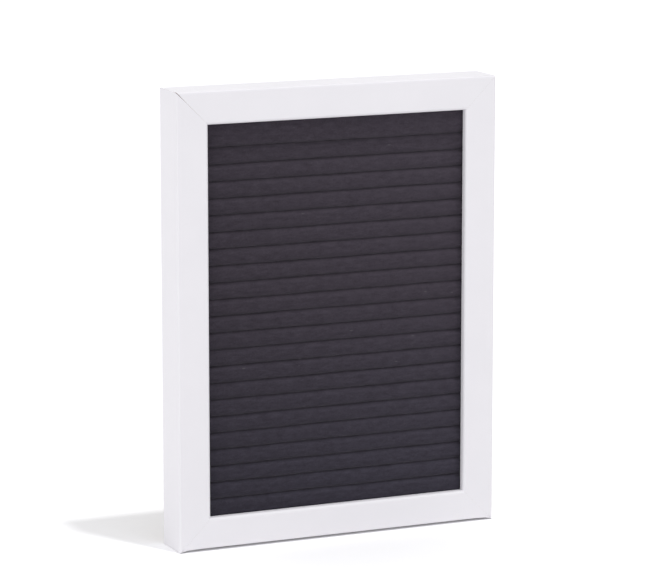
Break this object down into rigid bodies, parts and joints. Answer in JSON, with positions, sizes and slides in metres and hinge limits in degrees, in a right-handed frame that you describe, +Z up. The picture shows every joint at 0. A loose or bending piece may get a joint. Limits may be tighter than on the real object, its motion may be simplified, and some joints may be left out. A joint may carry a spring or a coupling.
{
  "type": "letter board",
  "caption": "Tabletop or wall letter board: a white mitred frame round a charcoal felt face with tucked horizontal grooves for pronged letters, and magnets in the back.",
  "frame": {"origin": "middle of the bottom edge: centre of the board's footprint on the surface that it stands on", "axes": "+Z up along the board's height, -Y out of the felt face, +Y out of the back, +X to the right as the face is seen"},
  "size_m": [0.1524, 0.02, 0.2032],
  "materials": {
    "white_foil": "fibreboard moulding wrapped in smooth white foil, satin",
    "charcoal_felt": "pressed felt, matt charcoal",
    "fibreboard": "milled fibreboard, raw",
    "grey_card": "pressed grey board, raw",
    "steel": "bright zinc-plated steel strip",
    "nickel": "nickel plate, polished"
  },
  "bodies": {
    "root": {"rail_bottom": "white_foil", "rail_right": "white_foil", "rail_top": "white_foil", "rail_left": "white_foil", "felt_face": "charcoal_felt", "slotted_board": "fibreboard", "backing_board": "grey_card", "tab_bottom": "steel", "tab_top": "steel", "tab_right_lower": "steel", "tab_right_upper": "steel", "tab_left_lower": "steel", "tab_left_upper": "steel", "corner_nail_bottom_left": "steel", "corner_nail_bottom_right": "steel", "corner_nail_top_right": "steel", "corner_nail_top_left": "steel", "magnet_right_lower": "nickel", "magnet_right_upper": "nickel", "magnet_left_lower": "nickel", "magnet_left_upper": "nickel"}
  },
  "joints": []
}
